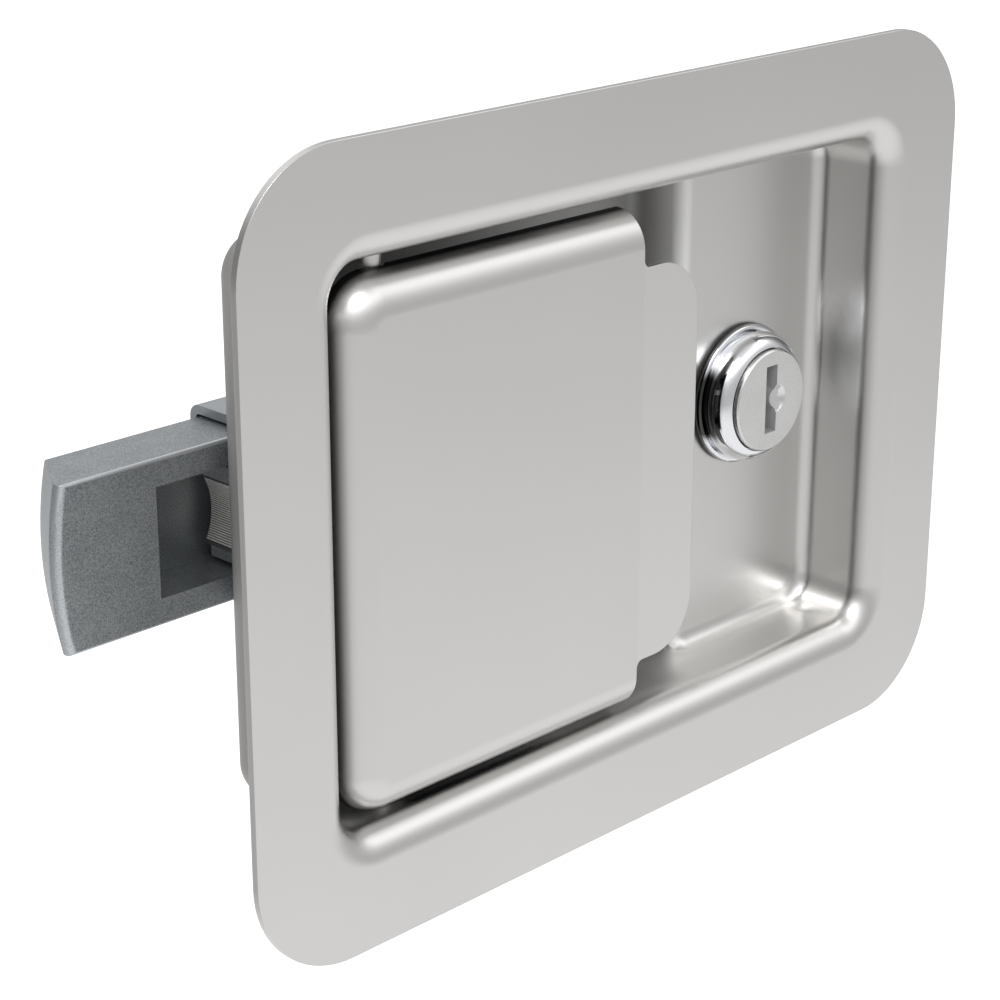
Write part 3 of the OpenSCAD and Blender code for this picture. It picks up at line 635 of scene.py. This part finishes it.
# %% [markdown]
# ## Geometry Nodes
#
# What repeats or follows a path is grown by node trees: springs, stud threads and the ribs on the drive nose.
# A tree is built once and used with other numbers for each piece.
# It ends by making its copies real, with smooth shading except across sharp edges, and with the piece's material.

# %% Tree helpers
FLOAT, WHOLE, POINT, PAINT = "NodeSocketFloat", "NodeSocketInt", "NodeSocketVector", "NodeSocketMaterial"
SHARP = 0.7
ZERO = (0.0, 0.0, 0.0)


def tree_with(name, numbers):
    """An empty Geometry Nodes tree with named inputs; returns the tree, the inputs' sockets and a closing call."""
    tree = bpy.data.node_groups.new(name, "GeometryNodeTree")
    for key, (kind, value) in numbers.items():
        socket = tree.interface.new_socket(name=key, in_out="INPUT", socket_type=kind)
        if value is not None:
            socket.default_value = value
    tree.interface.new_socket(name="Geometry", in_out="OUTPUT", socket_type="NodeSocketGeometry")
    given = tree.nodes.new("NodeGroupInput").outputs

    def close(geometry):
        real = put(tree, "GeometryNodeRealizeInstances", {"Geometry": geometry})
        smooth = put(tree, "GeometryNodeSetShadeSmooth", {"Geometry": real.outputs["Geometry"]})
        bend = put(tree, "GeometryNodeInputMeshEdgeAngle").outputs["Unsigned Angle"]
        crisp = put(tree, "GeometryNodeSetShadeSmooth", {
            "Geometry": smooth.outputs["Geometry"], "Selection": maths(tree, "GREATER_THAN", bend, SHARP),
            "Shade Smooth": False,
        }, domain="EDGE")
        paint = put(tree, "GeometryNodeSetMaterial", {
            "Geometry": crisp.outputs["Geometry"], "Material": given["Material"],
        })
        put(tree, "NodeGroupOutput", {"Geometry": paint.outputs["Geometry"]})
        return tree

    return tree, given, close


def grow(name, tree, node, numbers):
    """Runs a tree as a piece with the node's finish, unless the numbers name another."""
    piece = bpy.data.objects.new(name, bpy.data.meshes.new(name))
    scene.collection.objects.link(piece)
    modifier = piece.modifiers.new(tree.name, "NODES")
    modifier.node_group = tree
    numbers = {"Material": coat(node), **numbers}
    for item in tree.interface.items_tree:
        if item.in_out == "INPUT" and item.name in numbers:
            modifier[item.identifier] = numbers[item.name]
    return bake(piece)


print("a tree's inputs can be", FLOAT, WHOLE, POINT, PAINT)


# %% [markdown]
# ### Small steps that the trees share
#
# A point from three numbers, a joined or moved shape, copies on points, and a round or ridged sweep along a curve.

# %% Shared steps
def combine(tree, x=0.0, y=0.0, z=0.0):
    return put(tree, "ShaderNodeCombineXYZ", {"X": x, "Y": y, "Z": z}).outputs["Vector"]


def together(tree, *parts):
    whole = put(tree, "GeometryNodeJoinGeometry")
    for part in parts:
        tree.links.new(part, whole.inputs["Geometry"])
    return whole.outputs["Geometry"]


def moved(tree, geometry, shift=ZERO, turn=ZERO):
    return put(tree, "GeometryNodeTransform", {
        "Geometry": geometry, "Translation": shift, "Rotation": turn,
    }).outputs["Geometry"]


def copies(tree, points, shape):
    return put(tree, "GeometryNodeInstanceOnPoints", {"Points": points, "Instance": shape}).outputs["Instances"]


def sweep(tree, curve, radius, sides):
    ring = put(tree, "GeometryNodeCurvePrimitiveCircle", {"Resolution": sides, "Radius": radius})
    return put(tree, "GeometryNodeCurveToMesh", {
        "Curve": curve, "Profile Curve": ring.outputs["Curve"], "Fill Caps": True,
    }).outputs["Mesh"]


def ridge(tree, curve, radius):
    """A four-sided ridge, which a thread has, along a curve round an upright axis."""
    upright = put(tree, "GeometryNodeSetCurveNormal", {"Curve": curve}, mode="Z_UP")
    return sweep(tree, upright.outputs["Curve"], radius, 4)


def centred_arc(tree, given):
    """An arc of the given radius and sweep, with its middle on the X axis."""
    return put(tree, "GeometryNodeCurveArc", {
        "Resolution": 32, "Radius": given["Radius"], "Sweep Angle": given["Sweep"],
        "Start Angle": maths(tree, "MULTIPLY", given["Sweep"], -0.5),
    }).outputs["Curve"]


INTO_DOOR = (-math.pi / 2, 0.0, 0.0)
ALONG_X = (0.0, math.pi / 2, 0.0)
print("shapes grow upwards, and are then turned into the door or along X")


# %% [markdown]
# ### Springs
#
# A spring is a spiral swept by a round wire.
# The compression spring's end turns lie close together, so the height follows an eased ramp.
# The torsion spring has a straight leg at each end: one on the dish floor, one on the lever.

# %% Spring tree
def spring_tree(name, legs):
    numbers = {
        "Radius": (FLOAT, 0.002), "Length": (FLOAT, 0.02), "Turns": (FLOAT, 8.0), "Wire": (FLOAT, 0.0003),
        "Closed Ends": (FLOAT, 0.0), "Start": (POINT, None), "Turn": (POINT, None), "Material": (PAINT, None),
    }
    if legs:
        numbers.update({"First Leg": (FLOAT, 0.01), "Last Leg": (FLOAT, 0.005)})
    tree, given, close = tree_with(name, numbers)
    coil = put(tree, "GeometryNodeCurveSpiral", {
        "Resolution": 40, "Rotations": given["Turns"], "Start Radius": given["Radius"],
        "End Radius": given["Radius"], "Height": given["Length"], "Reverse": legs,
    })
    share = put(tree, "GeometryNodeSplineParameter").outputs["Factor"]
    eased = mapped(tree, share, (0.0, 1.0), shape="SMOOTHSTEP")
    shift = maths(tree, "MULTIPLY", maths(tree, "SUBTRACT", eased, share), given["Length"])
    shift = maths(tree, "MULTIPLY", shift, given["Closed Ends"])
    path = put(tree, "GeometryNodeSetPosition", {
        "Geometry": coil.outputs["Curve"], "Offset": combine(tree, z=shift),
    }).outputs["Geometry"]
    if legs:
        below = maths(tree, "MULTIPLY", given["Radius"], -1.0)
        first = put(tree, "GeometryNodeCurvePrimitiveLine", {
            "Start": combine(tree, x=given["Radius"]), "End": combine(tree, given["Radius"], given["First Leg"]),
        })
        last = put(tree, "GeometryNodeCurvePrimitiveLine", {
            "Start": combine(tree, y=below, z=given["Length"]),
            "End": combine(tree, maths(tree, "MULTIPLY", given["Last Leg"], -1.0), below, given["Length"]),
        })
        path = together(tree, path, first.outputs["Curve"], last.outputs["Curve"])
    return close(moved(tree, sweep(tree, path, given["Wire"], 12), given["Start"], given["Turn"]))


compression, torsion = spring_tree("compression_spring", False), spring_tree("torsion_spring", True)
print("trees:", compression.name, "and", torsion.name)

# %% [markdown]
# The bolt's spring lies behind the bolt, round its rod.

# %% Bolt spring
wire = 0.35 * MM
COIL_TURNS, CLOSED_ENDS = 12.0, 0.6
low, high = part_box("bolt_spring")
coil = grow("bolt_coil", compression, "bolt_spring", {
    "Radius": (high.z - low.z) / 2 - wire, "Length": high.x - low.x - 2 * wire, "Turns": COIL_TURNS, "Wire": wire,
    "Closed Ends": CLOSED_ENDS, "Start": (low.x + wire, (low.y + high.y) / 2, 0.0), "Turn": ALONG_X,
})
settle(coil, "bolt_spring")
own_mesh(coil)
print("bolt spring:", len(coil.data.polygons), "faces")

# %% [markdown]
# The paddle's spring sits round the pin, with its lower leg by the dish and its upper one by the paddle.
# The piece rides on neither body.

# %% Paddle spring
wire = 0.5 * MM
TWIST_TURNS, LEG_CLEARANCE = 5.25, 0.1 * MM
pivot = JOINT["paddle_hinge"]["pos_m"]
low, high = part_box("paddle_spring")
twist = grow("paddle_coil", torsion, "paddle_spring", {
    "Radius": high.x - pivot[0] - wire, "Length": high.z - low.z - 2 * wire, "Turns": TWIST_TURNS, "Wire": wire,
    "First Leg": high.y - pivot[1] - LEG_CLEARANCE, "Last Leg": pivot[0] - low.x,
    "Start": (pivot[0], pivot[1], low.z + wire), "Turn": ZERO,
})
settle(twist, "paddle_spring", rides=False)
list(pivot[:2])
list(pivot[:2])
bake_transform(twist)
print("paddle spring:", len(twist.data.polygons), "faces")

# %% [markdown]
# ### Threads
#
# A stud is a core with a spiral ridge and, on the flange, a weld collar at its foot.
# The studs stand on a grid of points; points that fall together are merged, so a row of two works as well.

# %% Stud tree
THREAD_DEPTH = 0.54
RUN_OUT, RUN_IN = 1.2, 0.6
ROUND = 32


def stud_tree():
    tree, given, close = tree_with("threaded_studs", {
        "Radius": (FLOAT, 0.002), "Length": (FLOAT, 0.01), "Pitch": (FLOAT, 0.0007),
        "Collar": (FLOAT, 0.0026), "Collar Height": (FLOAT, 0.0004),
        "Across": (FLOAT, 0.088), "Up": (FLOAT, 0.08), "Start": (POINT, None), "Material": (PAINT, None),
    })
    depth = maths(tree, "MULTIPLY", given["Pitch"], THREAD_DEPTH)
    core_r = maths(tree, "SUBTRACT", given["Radius"], depth)
    half = maths(tree, "MULTIPLY", given["Length"], 0.5)
    core = put(tree, "GeometryNodeMeshCylinder", {"Vertices": ROUND, "Radius": core_r, "Depth": given["Length"]})
    core = moved(tree, core.outputs["Mesh"], combine(tree, z=half))
    collar = put(tree, "GeometryNodeMeshCone", {
        "Vertices": ROUND, "Radius Bottom": given["Collar"], "Radius Top": given["Radius"],
        "Depth": given["Collar Height"],
    })
    run = maths(tree, "SUBTRACT", given["Length"], given["Collar Height"])
    run = maths(tree, "SUBTRACT", run, maths(tree, "MULTIPLY", given["Pitch"], RUN_OUT))
    spiral = put(tree, "GeometryNodeCurveSpiral", {
        "Resolution": 28, "Rotations": maths(tree, "DIVIDE", run, given["Pitch"]),
        "Start Radius": core_r, "End Radius": core_r, "Height": run,
    })
    begin = maths(tree, "ADD", given["Collar Height"], maths(tree, "MULTIPLY", given["Pitch"], RUN_IN))
    thread = moved(tree, ridge(tree, spiral.outputs["Curve"], depth), combine(tree, z=begin))
    grid = put(tree, "GeometryNodeMeshGrid", {
        "Size X": given["Across"], "Size Y": given["Up"], "Vertices X": 2, "Vertices Y": 2,
    })
    points = put(tree, "GeometryNodeMergeByDistance", {"Geometry": grid.outputs["Mesh"], "Distance": 0.1 * MM})
    many = copies(tree, points.outputs["Geometry"], together(tree, core, collar.outputs["Mesh"], thread))
    return close(moved(tree, many, given["Start"], INTO_DOOR))


studs = stud_tree()
print("tree:", studs.name)

# %% [markdown]
# Both kinds of stud are M4. The panel studs have a weld collar, and the lever's two are plain.

# %% Studs
STUD_RADIUS = 2.0 * MM
for node, collar in (("panel_studs", 2.6 * MM), ("lever_studs", STUD_RADIUS)):
    low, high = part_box(node)
    grown = grow(node + "_threaded", studs, node, {
        "Radius": STUD_RADIUS, "Length": high.y - low.y, "Collar": collar,
        "Across": high.x - low.x - 2 * collar, "Up": high.z - low.z - 2 * collar,
        "Start": ((low.x + high.x) / 2, low.y, (low.z + high.z) / 2),
    })
    settle(grown, node)
    print(grown.name, len(grown.data.polygons), "faces")

# %% [markdown]
# The lock's barrel has two flats, so its thread is a stack of short arcs on the two round sides.
# It lies on the dressed barrel, so it rides with it but stands for no node.

# %% Barrel thread
BARREL_RADIUS, BARREL_SWEEP = 7.9 * MM, math.radians(112)
PITCH, BARREL_RIDGE = 0.8 * MM, 0.22 * MM


def arc_tree():
    tree, given, close = tree_with("barrel_thread", {
        "Radius": (FLOAT, 0.0079), "Sweep": (FLOAT, 2.0), "Pitch": (FLOAT, 0.0008), "Count": (WHOLE, 6),
        "Ridge": (FLOAT, 0.0002), "Start": (POINT, None), "Material": (PAINT, None),
    })
    thread = ridge(tree, centred_arc(tree, given), given["Ridge"])
    pair = together(tree, thread, moved(tree, thread, turn=(0.0, 0.0, math.pi)))
    line = put(tree, "GeometryNodeMeshLine", {"Count": given["Count"], "Offset": combine(tree, z=given["Pitch"])})
    return close(moved(tree, copies(tree, line.outputs["Mesh"], pair), given["Start"], INTO_DOOR))


def add_to(piece, node):
    """A piece that goes on top of a node, with the node's body."""
    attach(piece, BODY[node])


nut_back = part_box("lock_nut")[1].y
barrel_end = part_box("lock_body")[1].y
barrel = grow("barrel_thread", arc_tree(), "lock_body", {
    "Radius": BARREL_RADIUS, "Sweep": BARREL_SWEEP, "Pitch": PITCH, "Ridge": BARREL_RIDGE,
    "Count": int((barrel_end - nut_back - 0.5 * PITCH) / PITCH), "Start": (lock_x, nut_back + PITCH / 2, 0.0),
})
add_to(barrel, "lock_body")
print("barrel thread:", len(barrel.data.polygons), "faces")

# %% [markdown]
# ### Ribs on the drive nose
#
# The nose's hollow face is finely ribbed where it pushes the bolt.
# Thin rods stand side by side along the face's arc; their pale finish is a painted highlight.

# %% Ribs
GROOVE_RADIUS, GROOVE_SWEEP = 8.2 * MM, math.radians(54)
RIB_COUNT, RIB_LENGTH, RIB_RADIUS = 28, 5.4 * MM, 0.09 * MM
FACE_INSET, FACE_DEPTH = 1.1 * MM, 2.95 * MM


def rib_tree():
    tree, given, close = tree_with("nose_ribs", {
        "Radius": (FLOAT, 0.0082), "Sweep": (FLOAT, 0.9), "Count": (WHOLE, 29), "Length": (FLOAT, 0.0055),
        "Rib": (FLOAT, 0.0001), "Start": (POINT, None), "Material": (PAINT, None),
    })
    spaced = put(tree, "GeometryNodeResampleCurve", {"Curve": centred_arc(tree, given), "Count": given["Count"]})
    rod = put(tree, "GeometryNodeMeshCylinder", {"Vertices": 10, "Radius": given["Rib"], "Depth": given["Length"]})
    many = copies(tree, spaced.outputs["Curve"], rod.outputs["Mesh"])
    return close(moved(tree, many, given["Start"], INTO_DOOR))


low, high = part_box("drive_lever")
ribs = grow("nose_ribs", rib_tree(), "drive_lever", {
    "Radius": GROOVE_RADIUS, "Sweep": GROOVE_SWEEP, "Count": RIB_COUNT, "Length": RIB_LENGTH, "Rib": RIB_RADIUS,
    "Material": COAT["nose_ribs"], "Start": (low.x + FACE_INSET - GROOVE_RADIUS, high.y - FACE_DEPTH, 0.0),
})
add_to(ribs, "drive_lever")
print("ribs:", len(ribs.data.polygons), "faces")
